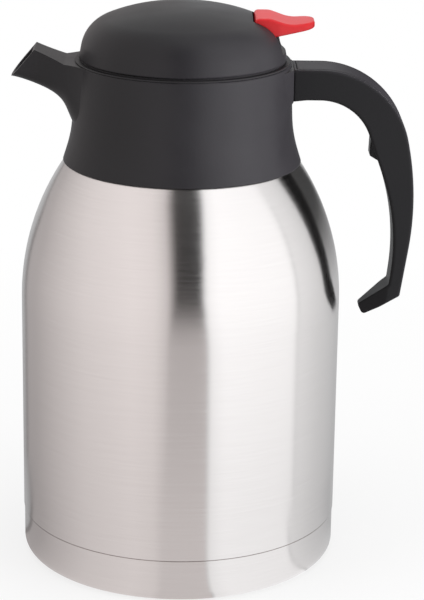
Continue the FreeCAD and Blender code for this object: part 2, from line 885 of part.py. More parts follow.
def handle_screws():
    body = new_body("handle_screw")
    seat = d.boss_face_reach + d.screw_seat
    tip = d.boss_face_reach - d.screw_bite
    sketch = new_sketch(body, "screw_section", "XZ_Plane", d.screw_spread, handle_top - d.screw_drop)
    draw(sketch, [
        (tip, 0),
        (tip + d.screw_radius / 2, d.screw_radius),
        (seat, d.screw_radius),
        (seat, d.screw_head_radius),
        (seat + d.screw_head_height, d.screw_head_radius, d.screw_head_height / 2),
        (seat + d.screw_head_height, 0),
    ])
    revolve(body, "screw_turned", sketch, "H_Axis")
    twin = doc.addObject("Part::Mirroring", "handle_screw_twin")
    twin.Source = body
    twin.Normal = FreeCAD.Vector(0, 1, 0)
    both = doc.addObject("Part::Compound", "handle_screws")
    both.Links = [body, twin]
    pieces["handle_screws"] = both


# Lid: seals, stopper, cover and guide plate

def lid_seals():
    turned_piece("lid_seal", box_corners(d.lid_seal_inner, d.lid_seal_outer, collar_top, lid_foot))
    low = stopper_foot + d.seal_rise
    inner = d.stopper_radius - d.seal_groove_depth
    outer = d.mouth_radius - d.seal_clearance
    lip = d.seal_height / 4
    turned_piece("stopper_seal", [
        (inner, low),
        (outer, low, lip),
        (outer, low + lip * 5 / 2, lip),
        (d.stopper_radius, low + d.seal_height),
        (inner, low + d.seal_height),
    ])


def stopper():
    body = new_body("stopper")
    inner = d.stopper_radius - d.stopper_wall
    plate_seat = inner + d.plate_ledge
    groove = d.stopper_radius - d.seal_groove_depth
    groove_low = stopper_foot + d.seal_rise
    groove_high = groove_low + d.seal_height
    seat = d.port_radius + d.seat_width
    turn_solid(body, "stopper_cup", [
        (d.port_radius, stopper_foot),
        (d.stopper_radius, stopper_foot, d.stopper_floor / 2),
        (d.stopper_radius, groove_low),
        (groove, groove_low),
        (groove, groove_high),
        (d.stopper_radius, groove_high),
        (d.stopper_radius, lid_foot),
        (d.flange_radius, lid_foot),
        (d.flange_radius, flange_top),
        (plate_seat, flange_top),
        (plate_seat, plate_foot),
        (inner, plate_foot),
        (inner, stopper_inside),
        (seat, stopper_inside),
        (seat, stopper_inside + d.seat_height),
        (d.port_radius, stopper_inside + d.seat_height),
    ])
    low = thread_top + d.window_sill
    sketch = outline(body, "window_outline", "YZ_Plane",
                     box_corners(-d.window_half_width, d.window_half_width, low, low + d.window_height,
                                 d.window_round))
    window = prism(body, "Pocket", "window", sketch, d.body_radius, backwards=True)
    ring = body.newObject("PartDesign::PolarPattern", "windows")
    ring.Originals = [window]
    ring.Axis = (sketch, ["V_Axis"])
    ring.Angle = 360
    bind(ring, "Occurrences", d.window_count)
    body.Tip = ring
    pieces["stopper"] = body


def lid_cover():
    body = new_body("lid_cover")
    wall = d.lid_wall
    top = lid_foot + d.lid_rise
    shoulder = lid_foot + d.lid_shoulder_rise
    run = d.lid_shoulder_radius - d.lid_crown_flat
    fall = top - shoulder
    slope = diagonal(run, fall)
    half_bend = (slope - run) / fall
    spread = d.lid_foot_radius - d.lid_shoulder_radius
    side = diagonal(spread, d.lid_shoulder_rise)
    half_turn_down = (run * d.lid_shoulder_rise - fall * spread) / (
        slope * side + run * spread + fall * d.lid_shoulder_rise)
    crown_round = (slope - d.lid_shoulder_round * half_turn_down - wall / 4) / half_bend
    seat = top - wall - d.spring_seat_depth
    socket_foot = seat - d.spring_socket_depth
    socket_outer = d.spring_socket_radius + d.spring_socket_wall
    turn_solid(body, "lid_dome", [
        (0, top),
        (d.lid_crown_flat, top, crown_round),
        (d.lid_shoulder_radius, shoulder, d.lid_shoulder_round),
        (d.lid_foot_radius, lid_foot, d.lid_ledge),
        (d.flange_radius + d.flange_clearance, lid_foot),
        (d.flange_radius + d.flange_clearance, flange_top),
        (d.flange_radius - d.lid_ledge, flange_top),
        (d.lid_shoulder_radius - wall, shoulder - wall, d.lid_shoulder_round - wall),
        (d.lid_crown_flat - wall, top - wall, crown_round / 3),
        (socket_outer, top - wall),
        (socket_outer, socket_foot),
        (d.spring_socket_radius, socket_foot),
        (d.spring_socket_radius, seat),
        (0, seat),
    ])
    half = d.lid_slot_half_width
    slot = outline(body, "slot_outline", "YZ_Plane", [
        (-half, lid_foot + d.lid_slot_sill, d.lid_slot_round),
        (half, lid_foot + d.lid_slot_sill, d.lid_slot_round),
        (half, top + wall),
        (-half, top + wall),
    ], d.lid_slot_reach)
    prism(body, "Pocket", "lever_slot", slot, d.lid_foot_radius, backwards=True)
    pieces["lid_cover"] = body


def guide_plate():
    body = new_body("guide_plate")
    bore = d.stem_radius + d.stem_clearance
    groove = bore + 2 * d.o_ring_wire + d.stem_clearance
    rim_radius = d.stopper_radius - d.stopper_wall + d.plate_ledge - d.plate_fit
    boss_foot = plate_foot - d.guide_boss_depth
    groove_top = boss_foot + 2 * d.o_ring_wire + d.stem_clearance
    turn_solid(body, "guide_disc", [
        (bore, plate_top),
        (rim_radius, plate_top),
        (rim_radius, plate_foot),
        (d.guide_boss_radius, plate_foot),
        (d.guide_boss_radius, boss_foot),
        (groove, boss_foot),
        (groove, groove_top),
        (bore, groove_top),
    ])
    left = d.pivot_reach - d.lug_radius
    right = d.pivot_reach + d.lug_radius
    top = pivot + d.lug_radius
    bend = d.lug_radius - d.plate_fit
    inside_stopper = diagonal_leg(rim_radius, d.lug_outer) - d.plate_fit
    lugs = outline(body, "lug_outline", "XZ_Plane", [
        (left, plate_foot),
        (inside_stopper, plate_foot),
        (inside_stopper, flange_top + d.plate_fit),
        (right, pivot),
        (right, top, bend),
        (left, top, bend),
    ])
    prism(body, "Pad", "lug_block", lugs, 2 * d.lug_outer, symmetric=True)
    gap = outline(body, "lug_gap", "XZ_Plane",
                  box_corners(left - d.lug_radius, right + d.lug_radius, plate_top, top + d.lug_radius))
    prism(body, "Pocket", "lug_space", gap, 2 * d.lug_inner, symmetric=True)
    holes = circles(body, "pin_circle", "XZ_Plane", [(d.pivot_reach, pivot)], d.pin_radius)
    prism(body, "Pocket", "pin_holes", holes, 4 * d.lug_outer, symmetric=True)
    pieces["guide_plate"] = body

    ring = doc.addObject("Part::Torus", "stem_o_ring")
    bind(ring, "Radius1", bore + d.o_ring_wire)
    bind(ring, "Radius2", d.o_ring_wire)
    bind(ring, "Placement.Base.z", groove_top - d.o_ring_wire)
    pieces["stem_o_ring"] = ring


def lever_pin():
    body = new_body("lever_pin")
    sketch = circles(body, "pin_section", "XZ_Plane", [(d.pivot_reach, pivot)], d.pin_radius)
    prism(body, "Pad", "pin_rod", sketch, 2 * d.lug_outer, symmetric=True)
    pieces["lever_pin"] = body


# Thumb lever

def thumb_lever():
    body = new_body("thumb_lever")
    front = d.lid_slot_reach + d.lever_front_gap
    hub = d.hub_radius
    bend = hub - d.pin_clearance
    half = d.lever_half_width
    crest = lid_foot + d.lever_crest_rise
    tip = lid_foot + d.lever_tip_rise
    under = lid_foot + d.lever_under_rise
    profile = outline(body, "lever_profile", "XZ_Plane", [
        (front, crest, hub / 2),
        (d.lever_crest_reach, crest, 2 * hub),
        (d.lever_saddle_reach, lid_foot + d.lever_saddle_rise, 4 * hub),
        (d.lever_tip_reach, tip, d.lever_tip_thickness / 3),
        (d.lever_tip_reach, tip - d.lever_tip_thickness, d.lever_tip_thickness / 3),
        (d.lever_under_reach, under, hub / 2),
        (d.pivot_reach + hub, pivot - hub, bend),
        (d.pivot_reach - hub, pivot - hub, bend),
        (d.pivot_reach - hub, pivot + hub, hub / 2),
        (front, pivot + 3 * hub / 2, hub / 4),
    ])
    prism(body, "Pad", "lever_slab", profile, 2 * half, symmetric=True)

    back = d.pivot_reach - 2 * hub
    far = 2 * d.lever_tip_reach
    around = new_sketch(body, "lever_around", "XY_Plane", plate_foot)
    draw(around, box_corners(back - hub, far, -2 * half, 2 * half))
    draw(around, [
        (back, -half),
        (d.lever_waist_reach, -half, d.lever_tip_round),
        (d.lever_tip_reach, -d.lever_tip_half_width, d.lever_tip_round),
        (d.lever_tip_reach, d.lever_tip_half_width, d.lever_tip_round),
        (d.lever_waist_reach, half, d.lever_tip_round),
        (back, half),
    ])
    trimmed = prism(body, "Pocket", "lever_trim", around, d.lid_foot_radius, backwards=True)

    def paddle_edge(edge, faces):
        upright = [abs(face.normalAt(*face.Surface.parameter(edge.CenterOfMass)).z) < 0.01 for face in faces]
        return edge.CenterOfMass.z > under.value and any(upright) and not all(upright)

    round_edges(body, "lever_rounds", trimmed, d.lever_edge_radius, paddle_edge)

    arm_round = d.arm_thickness / 2 - d.pin_clearance
    nose = -d.arm_thickness / 2
    arm_side = outline(body, "arm_profile", "XZ_Plane", [
        (nose, arm_foot, arm_round),
        (d.pivot_reach - hub, arm_foot, hub),
        (d.pivot_reach + hub / 2, pivot - hub / 2),
        (d.pivot_reach - hub / 2, pivot),
        (d.pivot_reach - 2 * hub, arm_top, hub),
        (nose, arm_top, arm_round),
    ])
    prism(body, "Pad", "arm_bar", arm_side, 2 * d.arm_half_width, symmetric=True)
    fork = d.stem_radius + d.fork_clearance
    slot = outline(body, "fork_outline", "XY_Plane", [
        (-2 * fork, -fork),
        (fork + d.fork_run, -fork, fork - d.pin_clearance),
        (fork + d.fork_run, fork, fork - d.pin_clearance),
        (-2 * fork, fork),
    ], plate_foot)
    prism(body, "Pocket", "fork_slot", slot, 4 * d.arm_thickness, backwards=True)
    hole = circles(body, "bore_circle", "XZ_Plane", [(d.pivot_reach, pivot)], d.pin_radius + d.pin_clearance)
    prism(body, "Pocket", "lever_bore", hole, 4 * half, symmetric=True)
    pieces["thumb_lever"] = body


# Valve

def valve():
    seal_low = stopper_inside + d.seat_height
    seal_high = seal_low + d.valve_seal_height
    plug_top = seal_high + d.valve_plug_height
    hub_top = plug_top + d.valve_hub_height
    stem_foot = seal_high + d.valve_plug_height / 2
    edge = d.valve_plug_height / 4
    turned_piece("valve_seal", box_corners(d.valve_seal_bore, d.valve_seal_radius, seal_low, seal_high))
    turned_piece("valve_plug", [
        (0, seal_low + edge),
        (d.valve_seal_bore, seal_low + edge),
        (d.valve_seal_bore, seal_high),
        (d.valve_plug_radius, seal_high, edge),
        (d.valve_plug_radius, plug_top, edge),
        (d.valve_hub_radius, plug_top),
        (d.valve_hub_radius, hub_top, edge),
        (d.stem_radius, hub_top),
        (d.stem_radius, stem_foot),
        (0, stem_foot),
    ])
    flange = arm_top + d.stem_flange_gap
    flange_high = flange + d.stem_flange_height
    pin_top = flange_high + d.stem_pin_height
    turned_piece("valve_stem", [
        (0, stem_foot),
        (d.stem_radius, stem_foot),
        (d.stem_radius, flange),
        (d.stem_flange_radius, flange),
        (d.stem_flange_radius, flange_high),
        (d.stem_pin_radius, flange_high),
        (d.stem_pin_radius, pin_top, edge),
        (0, pin_top),
    ])


def biarc(start, start_way, end, end_way):
    """Two arcs that leave start and reach end along the given directions."""
    chord = end - start
    ways = start_way + end_way
    square = 2 * (1 - start_way.dot(end_way))
    along = chord.dot(ways)
    reach = (math.sqrt(along * along + square * chord.dot(chord)) - along) / square
    first = start + start_way * reach
    second = end - end_way * reach
    middle = (first + second) / 2
    arcs = []
    for a, apex, b in ((start, first, middle), (middle, second, end)):
        centre = (a + b) / 2
        half = (b - a).Length / 2
        height = (apex - centre).Length
        crown = half * math.tan(math.atan2(height, half) / 2)
        arcs.append(Part.Arc(a, centre + (apex - centre) * (crown / height), b).toShape())
    return arcs


def return_spring():
    """One unbroken wire, from the stem's flange up to its seat in the lid cover."""
    low = arm_top + d.stem_flange_gap + d.stem_flange_height + d.spring_gap
    high = lid_foot + d.lid_rise - d.lid_wall - d.spring_seat_depth - d.spring_gap
    wire = d.spring_wire.value
    radius = d.spring_radius.value
    bottom = low.value + wire / 2
    climb = high.value - low.value - wire
    steps = int(d.spring_turns.value) * 4
    pitch = climb / d.spring_turns.value

    def spot(step):
        angle = step * math.pi / 2
        return FreeCAD.Vector(radius * math.cos(angle), radius * math.sin(angle), bottom + climb * step / steps)

    def way(step):
        angle = step * math.pi / 2
        lead = pitch / (2 * math.pi)
        return FreeCAD.Vector(-radius * math.sin(angle), radius * math.cos(angle), lead).normalize()

    edges = []
    for step in range(steps):
        edges += biarc(spot(step), way(step), spot(step + 1), way(step + 1))
    path = Part.Wire(edges)
    ring = Part.Wire(Part.makeCircle(wire / 2, spot(0), way(0)))
    print(f"spring: gap between turns {pitch - wire:.2f} mm")
    spring = doc.addObject("Part::Feature", "return_spring")
    spring.Shape = path.makePipeShell([ring], True, False)
    pieces["return_spring"] = spring


pivot = lid_foot + d.pivot_rise
arm_foot = plate_top + d.arm_lift_gap
arm_top = arm_foot + d.arm_thickness

for build in (outer_shell, inner_flask, vacuum_base, base_cup, collar, neck_gasket, handle, handle_screws,
              lid_seals, stopper, lid_cover, guide_plate, lever_pin, thumb_lever, valve, return_spring):
    build()

doc.recompute()

for thing in doc.Objects:
    if "Invalid" in thing.State or "Error" in thing.State:
        raise RuntimeError(f"{thing.Name} failed: {thing.State}")
os.makedirs("parts", exist_ok=True)
for name, piece in pieces.items():
    piece.Label = name
    shape = piece.Shape
    if shape.isNull() or not shape.isValid():
        raise RuntimeError(f"{name} has no valid shape")
for name, piece in pieces.items():
    shape = piece.Shape
    shape.exportStep(f"parts/{name}.step")
    print(f"{name}: {len(shape.Solids)} solid, {shape.Volume:.0f} mm3")
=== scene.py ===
# %% [markdown]
# # A steel vacuum jug, dressed on its CAD frame
# The imported CAD model gives every rigid piece of this jug its true shape and place. This lesson
# adds what CAD leaves out: the finishes, a valve spring, the lip of the lid's seal, the screw
# ramps that hold the lid down, the studio and the camera. The frame is loaded first, because each
# later piece is placed from it, in metres, with +Z up and the spout towards -X.

# %% Load the frame
import math

import bmesh
import bpy
from mathutils import Matrix, Vector


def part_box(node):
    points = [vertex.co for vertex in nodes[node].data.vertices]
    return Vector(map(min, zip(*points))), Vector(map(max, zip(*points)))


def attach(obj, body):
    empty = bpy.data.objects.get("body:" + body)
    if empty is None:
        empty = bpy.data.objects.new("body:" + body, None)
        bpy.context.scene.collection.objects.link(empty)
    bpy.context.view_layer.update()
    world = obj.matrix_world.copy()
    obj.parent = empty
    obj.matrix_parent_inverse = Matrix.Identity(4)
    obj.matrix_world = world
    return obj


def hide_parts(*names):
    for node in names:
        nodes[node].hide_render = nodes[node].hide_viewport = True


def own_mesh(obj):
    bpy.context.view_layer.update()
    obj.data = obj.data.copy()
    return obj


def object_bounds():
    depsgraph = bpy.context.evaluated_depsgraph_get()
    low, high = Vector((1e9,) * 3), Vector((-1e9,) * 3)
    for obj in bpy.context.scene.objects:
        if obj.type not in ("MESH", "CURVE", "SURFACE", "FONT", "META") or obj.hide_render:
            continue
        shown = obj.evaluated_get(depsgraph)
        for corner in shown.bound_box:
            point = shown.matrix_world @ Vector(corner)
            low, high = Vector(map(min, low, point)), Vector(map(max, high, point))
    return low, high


MM = 0.001
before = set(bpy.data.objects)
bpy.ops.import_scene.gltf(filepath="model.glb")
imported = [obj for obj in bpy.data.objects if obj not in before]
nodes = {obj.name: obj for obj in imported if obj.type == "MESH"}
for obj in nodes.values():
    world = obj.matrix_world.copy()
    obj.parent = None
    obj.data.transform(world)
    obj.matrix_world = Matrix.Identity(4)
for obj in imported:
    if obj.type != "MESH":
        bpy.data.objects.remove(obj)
cad_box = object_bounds()
cad_size = [round(v / MM, 1) for v in cad_box[1] - cad_box[0]]
print("frame:", len(nodes), "nodes, box", cad_size, "mm")

# %% [markdown]
# ## Camera
# The photograph was taken from in front and a little above, with a long lens that hardly makes
# the upright sides converge. A camera is easiest to set from measured angles: how far it looks
# down, how far it turns towards the handle, and how far the picture leans. Depth of field and
# shift stay off, so the same camera serves the other views.

# %% Camera
PHOTO_TALL = 600
FOCAL_PIXELS = 2276.8
CAMERA_PLACE = Vector((0.0, -1028.3, 452.85)) * MM
# Angles in radians.
LOOK_DOWN = 0.3109
TURN_TO_HANDLE = 0.0145
LEAN = 0.0147

lens = bpy.data.cameras.new("camera")
lens.sensor_width = 36.0
lens.lens = FOCAL_PIXELS / PHOTO_TALL * lens.sensor_width
camera = bpy.data.objects.new("camera", lens)
bpy.context.scene.collection.objects.link(camera)
camera.matrix_world = (
    Matrix.Translation(CAMERA_PLACE)
    @ Matrix.Rotation(-TURN_TO_HANDLE, 4, "Z")
    @ Matrix.Rotation(math.pi / 2 - LOOK_DOWN, 4, "X")
    @ Matrix.Rotation(LEAN, 4, "Z")
)
bpy.context.scene.camera = camera
bpy.context.scene.view_settings.view_transform = "Standard"
print("camera: lens", round(lens.lens, 1), "mm")

# %% [markdown]
# ## Helpers for materials
# Blender's shaders want linear light, while colours are easiest to pick as sRGB hex values, so one
# function turns the one into the other. A second adds a node with its settings and its inputs,
# which keeps every material below short enough to read as a recipe. Two more start an empty
# material and give it to CAD nodes.

# %% Colour and node helpers
def linear(code):
    """An sRGB hex value as linear red, green, blue and alpha."""
    channels = []
    for place in (0, 2, 4):
        value = int(code[place:place + 2], 16) / 255
        channels.append(value / 12.92 if value <= 0.04045 else ((value + 0.055) / 1.055) ** 2.4)
    return (*channels, 1.0)


def add_node(tree, kind, inputs, **settings):
    """A new shader node. An input is a plain value, or another node's output to link."""
    node = tree.nodes.new(f"ShaderNode{kind}")
    for name, value in settings.items():
        setattr(node, name, value)
    for socket, value in inputs.items():
        if isinstance(value, bpy.types.NodeSocket):
            tree.links.new(value, node.inputs[socket])
        else:
            node.inputs[socket].default_value = value
    return node


def start_material(name):
    """A new material with an empty node tree."""
    material = bpy.data.materials.new(name)
    material.use_nodes = True
    material.node_tree.nodes.clear()
    return material, material.node_tree


def dress(names, material):
    """Give CAD nodes one material."""
    for name in names:
        nodes[name].data.materials.clear()
        nodes[name].data.materials.append(material)
    print(material.name, "on", ", ".join(names))


# %% [markdown]
# ## Brushed stainless steel
# The jug is spun from 18/8 stainless sheet and then brushed on a lathe, so the fine lines run
# round it. The lines scatter light up and down but hardly sideways: reflections smear into
# upright bands. An anisotropic metal does this, with its tangent round the axis and the long
# side of the highlight turned a quarter. Real lines are near 0.05 mm wide, too fine to show, so
# they are drawn 0.4 mm tall and 30 mm long. Some lines are rougher than others, which shows as
# pale streaks where the steel mirrors something dark. They also vary the tone and a slight bump.
# The inside is electropolished, which takes most of the lines away again.

# %% Brushed stainless steel
LINE_TALL = 0.4 * MM
LINE_LONG = 30 * MM
LINE_DEPTH = 0.03 * MM
LINE_ROUGHNESS = 0.05
QUARTER_TURN = 0.25


def brushed_steel(name, dark, light, roughness, anisotropy):
    material, tree = start_material(name)
    place = add_node(tree, "TexCoord", {}).outputs["Object"]
    scale = (1 / LINE_LONG, 1 / LINE_LONG, 1 / LINE_TALL)
    along = add_node(tree, "Mapping", {"Vector": place, "Scale": scale}).outputs["Vector"]
    lines = add_node(tree, "TexNoise", {
        "Vector": along, "Scale": 1.0, "Detail": 4.0, "Roughness": 0.65,
    }).outputs["Fac"]
    tone = add_node(tree, "Mix", {
        "Factor": lines, "A": linear(dark), "B": linear(light),
    }, data_type="RGBA")
    gloss = add_node(tree, "MapRange", {
        "Value": lines, "From Min": 0.3, "From Max": 0.7,
        "To Min": roughness - LINE_ROUGHNESS, "To Max": roughness + LINE_ROUGHNESS,
    })
    bump = add_node(tree, "Bump", {"Height": lines, "Strength": 0.03, "Distance": LINE_DEPTH})
    round_axis = add_node(tree, "Tangent", {}, direction_type="RADIAL", axis="Z")
    steel = add_node(tree, "BsdfPrincipled", {
        "Base Color": tone.outputs["Result"],
        "Metallic": 1.0,
        "Roughness": gloss.outputs["Result"],
        "Anisotropic": anisotropy,
        "Anisotropic Rotation": QUARTER_TURN,
        "Tangent": round_axis.outputs["Tangent"],
        "Normal": bump.outputs["Normal"],
    })
    add_node(tree, "OutputMaterial", {"Surface": steel.outputs["BSDF"]})
    return material


dress(["outer_shell", "base_cup"],
      brushed_steel("brushed_stainless", "d1cdcb", "dcd9d7", roughness=0.22, anisotropy=0.85))
dress(["inner_flask", "vacuum_base", "vacuum_plug"],
      brushed_steel("electropolished_stainless", "b9b6b3", "d2cfcc", roughness=0.2, anisotropy=0.3))

# %% [markdown]
# ## Matt black polypropylene
# Collar, handle and lid are moulded in black polypropylene in a spark-eroded mould. The eye gets
# a charcoal with a soft, even sheen: its texture is a fine grain near 0.3 mm, drawn here at
# 0.9 mm to show, that breaks up the highlight. The handle is grained more deeply for the grip. A
# second, wide noise leaves faint flow and handling marks in the gloss, so that large faces don't
# look like painted card. Moulded edges are never sharp, so the shading is softened over them.

# %% Matt black polypropylene
GRAIN = 0.9 * MM
GRAIN_DEPTH = 0.1 * MM
MARKS = 18 * MM
MARKS_ROUGHNESS = 0.04


def moulded_plastic(name, deep, pale, roughness, ior, relief, shine=0.5, edge=0.4 * MM):
    material, tree = start_material(name)
    place = add_node(tree, "TexCoord", {}).outputs["Object"]
    grain = add_node(tree, "TexNoise", {
        "Vector": place, "Scale": 1 / GRAIN, "Detail": 2.0, "Roughness": 0.6,
    }).outputs["Fac"]
    marks = add_node(tree, "TexNoise", {
        "Vector": place, "Scale": 1 / MARKS, "Detail": 3.0, "Roughness": 0.55,
    }).outputs["Fac"]
    tone = add_node(tree, "Mix", {
        "Factor": marks, "A": linear(deep), "B": linear(pale),
    }, data_type="RGBA")
    gloss = add_node(tree, "MapRange", {
        "Value": marks, "From Min": 0.25, "From Max": 0.75,
        "To Min": roughness - MARKS_ROUGHNESS, "To Max": roughness + MARKS_ROUGHNESS,
    })
    soft = add_node(tree, "Bevel", {"Radius": edge}, samples=8)
    bump = add_node(tree, "Bump", {
        "Height": grain, "Strength": relief, "Distance": GRAIN_DEPTH,
        "Normal": soft.outputs["Normal"],
    })
    plastic = add_node(tree, "BsdfPrincipled", {
        "Base Color": tone.outputs["Result"],
        "Roughness": gloss.outputs["Result"],
        "IOR": ior,
        "Specular IOR Level": shine,
        "Normal": bump.outputs["Normal"],
    })
    add_node(tree, "OutputMaterial", {"Surface": plastic.outputs["BSDF"]})
    return material


black_polypropylene = moulded_plastic(
    "black_polypropylene", "131214", "181719",
    roughness=0.42, ior=1.49, relief=0.3, shine=0.28, edge=0.8 * MM)
dress(["collar", "lid_cover", "stopper", "guide_plate"], black_polypropylene)
grained_polypropylene = moulded_plastic(
    "grained_polypropylene", "0e0d0f", "131214",
    roughness=0.46, ior=1.49, relief=0.4, shine=0.22, edge=1.5 * MM)
dress(["handle", "handle_cover"], grained_polypropylene)

# %% [markdown]
# ## Red, grey and soft pieces
# The lever is red ABS, smoother than the black because thumbs need no grip there. Plug and stem
# are grey acetal, which is waxy. The seals are pale silicone and black rubber, both dull. All of
# them are moulded, so the same recipe serves with other colours, gloss and relief.

# %% Other moulded pieces
dress(["thumb_lever"], moulded_plastic(
    "red_abs", "d41820", "dc1c24",
    roughness=0.36, ior=1.53, relief=0.08, shine=0.4, edge=1.5 * MM))
dress(["valve_plug", "valve_stem"], moulded_plastic(
    "grey_acetal", "77787a", "818284", roughness=0.38, ior=1.48, relief=0.06))
dress(["stopper_seal", "valve_seal", "neck_gasket"], moulded_plastic(
    "pale_silicone", "c9c8c3", "d3d2cd", roughness=0.55, ior=1.41, relief=0.1))
black_rubber = moulded_plastic(
    "black_rubber", "131213", "181719", roughness=0.48, ior=1.5, relief=0.15, shine=0.26)
dress(["lid_seal", "stem_o_ring"], black_rubber)

# %% [markdown]
# ## Drawn and sintered metal
# Screws, pin and spring are drawn steel wire, whose lines run along the wire and are too short to
# matter here, so a plain bright steel with a fine grain is enough. The getter that keeps the
# vacuum is a pressed tablet: dull, grey and grainy.

# %% Small metal pieces
METAL_GRAIN_DEPTH = 0.02 * MM


def plain_metal(name, dark, light, roughness, grain_size):
    material, tree = start_material(name)
    place = add_node(tree, "TexCoord", {}).outputs["Object"]
    grain = add_node(tree, "TexNoise", {
        "Vector": place, "Scale": 1 / grain_size, "Detail": 3.0,
    }).outputs["Fac"]
    tone = add_node(tree, "Mix", {
        "Factor": grain, "A": linear(dark), "B": linear(light),
    }, data_type="RGBA")
    bump = add_node(tree, "Bump", {
        "Height": grain, "Strength": 0.1, "Distance": METAL_GRAIN_DEPTH,
    })
    metal = add_node(tree, "BsdfPrincipled", {
        "Base Color": tone.outputs["Result"],
        "Metallic": 1.0,
        "Roughness": roughness,
        "Normal": bump.outputs["Normal"],
    })
    add_node(tree, "OutputMaterial", {"Surface": metal.outputs["BSDF"]})
    return material


bright_wire = plain_metal("drawn_steel", "c4c4c6", "dadadc", roughness=0.22, grain_size=0.6 * MM)
dress(["handle_screws", "lever_pin"], bright_wire)
dress(["getter"], plain_metal(
    "sintered_getter", "6a6a6c", "8c8c8e", roughness=0.6, grain_size=0.3 * MM))

# %% [markdown]
# ## Helpers for pieces
# A new piece is a mesh that rides on one body of the frame and takes one of the materials above.
# Wires and ramps are both swept: rings of points are joined into one closed skin.

# %% Piece helpers
def link_mesh(name, bm, material, body):
    """A new piece from a mesh, riding on a body."""
    mesh = bpy.data.meshes.new(name)
    bmesh.ops.recalc_face_normals(bm, faces=bm.faces)
    bm.to_mesh(mesh)
    bm.free()
    mesh.materials.append(material)
    piece = bpy.data.objects.new(name, mesh)
    bpy.context.scene.collection.objects.link(piece)
    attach(piece, body)
    print(name, "on", body, len(mesh.polygons), "faces")
    return piece


def sweep(bm, rings):
    """Join rings of points, in order, into one closed skin with flat ends."""
    loops = [[bm.verts.new(point) for point in ring] for ring in rings]
    for first, second in zip(loops, loops[1:]):
        for i in range(len(first)):
            j = (i + 1) % len(first)
            bm.faces.new((first[i], first[j], second[j], second[i]))
    bm.faces.new(loops[0])
    bm.faces.new(reversed(loops[-1]))


# %% [markdown]
# ## Return spring
# A wire spring in the lid pushes the valve shut, and shortens when the lever lifts it. The CAD
# wire is stiff. A wire of the same size takes its place here and rides on the lid. The wire is
# swept as rings of points round a helix.

# %% Return spring
WIRE = 1.1 * MM
TURNS = 5
STEPS_PER_TURN = 48
WIRE_SIDES = 12

low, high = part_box("return_spring")
coil = (high.x - low.x) / 2 - WIRE / 2
climb = high.z - low.z - WIRE
steps = TURNS * STEPS_PER_TURN
up = Vector((0, 0, 1))
wire_rings = []
for step in range(steps + 1):
    angle = math.tau * TURNS * step / steps
    outward = Vector((math.cos(angle), math.sin(angle), 0))
    centre = outward * coil + up * (low.z + WIRE / 2 + climb * step / steps)
    ring = []
    for i in range(WIRE_SIDES):
        turn = math.tau * i / WIRE_SIDES
        ring.append(centre + (outward * math.cos(turn) + up * math.sin(turn)) * WIRE / 2)
    wire_rings.append(ring)
bm = bmesh.new()
sweep(bm, wire_rings)
spring = link_mesh("valve_return_spring", bm, bright_wire, "lid")
for face in spring.data.polygons:
    face.use_smooth = True
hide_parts("return_spring")
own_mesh(spring)

# %% [markdown]
# ## Lid seal
# The fine black line under the lid is the gap above a rubber ring, which rides up and down with
# the lid but doesn't turn with it. The CAD ring is a plain band. The real one ends in a thin lip
# that lies flush with the collar's edge, so that only the gap shows. A ring with that lip stands
# for the band, turned from a short outline.

# %% Lid seal
SEAL_SIDES = 160
SEAL_INNER = 44.0 * MM
LIP_REACH = 49.6 * MM
LIP_ROUND = 0.3 * MM
LIP_SHARE = 0.6

low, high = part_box("lid_seal")
lip_top = low.z + LIP_SHARE * (high.z - low.z)
seal_outline = [
    (SEAL_INNER, low.z), (LIP_REACH - LIP_ROUND, low.z), (LIP_REACH, low.z + LIP_ROUND / 2),
    (LIP_REACH, lip_top - LIP_ROUND), (LIP_REACH - LIP_ROUND, lip_top), (high.x, lip_top),
    (high.x, high.z), (SEAL_INNER, high.z),
]
bm = bmesh.new()
rings = []
for i in range(SEAL_SIDES):
    angle = math.tau * i / SEAL_SIDES
    east, north = math.cos(angle), math.sin(angle)
    rings.append([bm.verts.new((reach * east, reach * north, z)) for reach, z in seal_outline])
for i in range(SEAL_SIDES):
    first, second = rings[i], rings[(i + 1) % SEAL_SIDES]
    for k in range(len(seal_outline)):
        j = (k + 1) % len(seal_outline)
        bm.faces.new((first[k], first[j], second[j], second[k]))
seal = link_mesh("lid_seal_ring", bm, black_rubber, "lid_ring")
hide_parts("lid_seal")

# %% [markdown]
# ## Screw ramps
# Four short ramps on the stopper turn under four lugs in the collar and pull the lid's seal down.
# A full thread could be cut as a helix, but quick lids like this one use ramps, which also keep
# clear of each other when the lid stands half a turn away. Each is an arc of blocks with a sloping
# under or upper face and tapered ends.

# %% A bar along an arc
ARC_PARTS = 20
END_SHARE = 0.25
END_STEEPNESS = 6
SLANT = 0.2


def arc_block(bm, inside, outside, start, sweep_degrees, low_line, high_line):
    """A bar along an arc. The two lines give its lower and upper height from 0 to 1 along it."""
    rings = []
    for i in range(ARC_PARTS + 1):
        share = i / ARC_PARTS
        angle = math.radians(start + sweep_degrees * share)
        outward = Vector((math.cos(angle), math.sin(angle), 0))
        to_end = min(share, 1 - share)
        tip = inside + (outside - inside) * min(1.0, END_STEEPNESS * to_end + END_SHARE)
        foot, top = low_line(share), high_line(share)
        slant = (top - foot) * SLANT
        rings.append([
            outward * inside + Vector((0, 0, foot)),
            outward * tip + Vector((0, 0, foot + slant)),
            outward * tip + Vector((0, 0, top - slant)),
            outward * inside + Vector((0, 0, top)),
        ])
    sweep(bm, rings)


# %% [markdown]
# Both sets stand on walls that the CAD model already has, sunk a little into them so that no gap
# shows, and their heights count from the top of the gasket under the stopper.

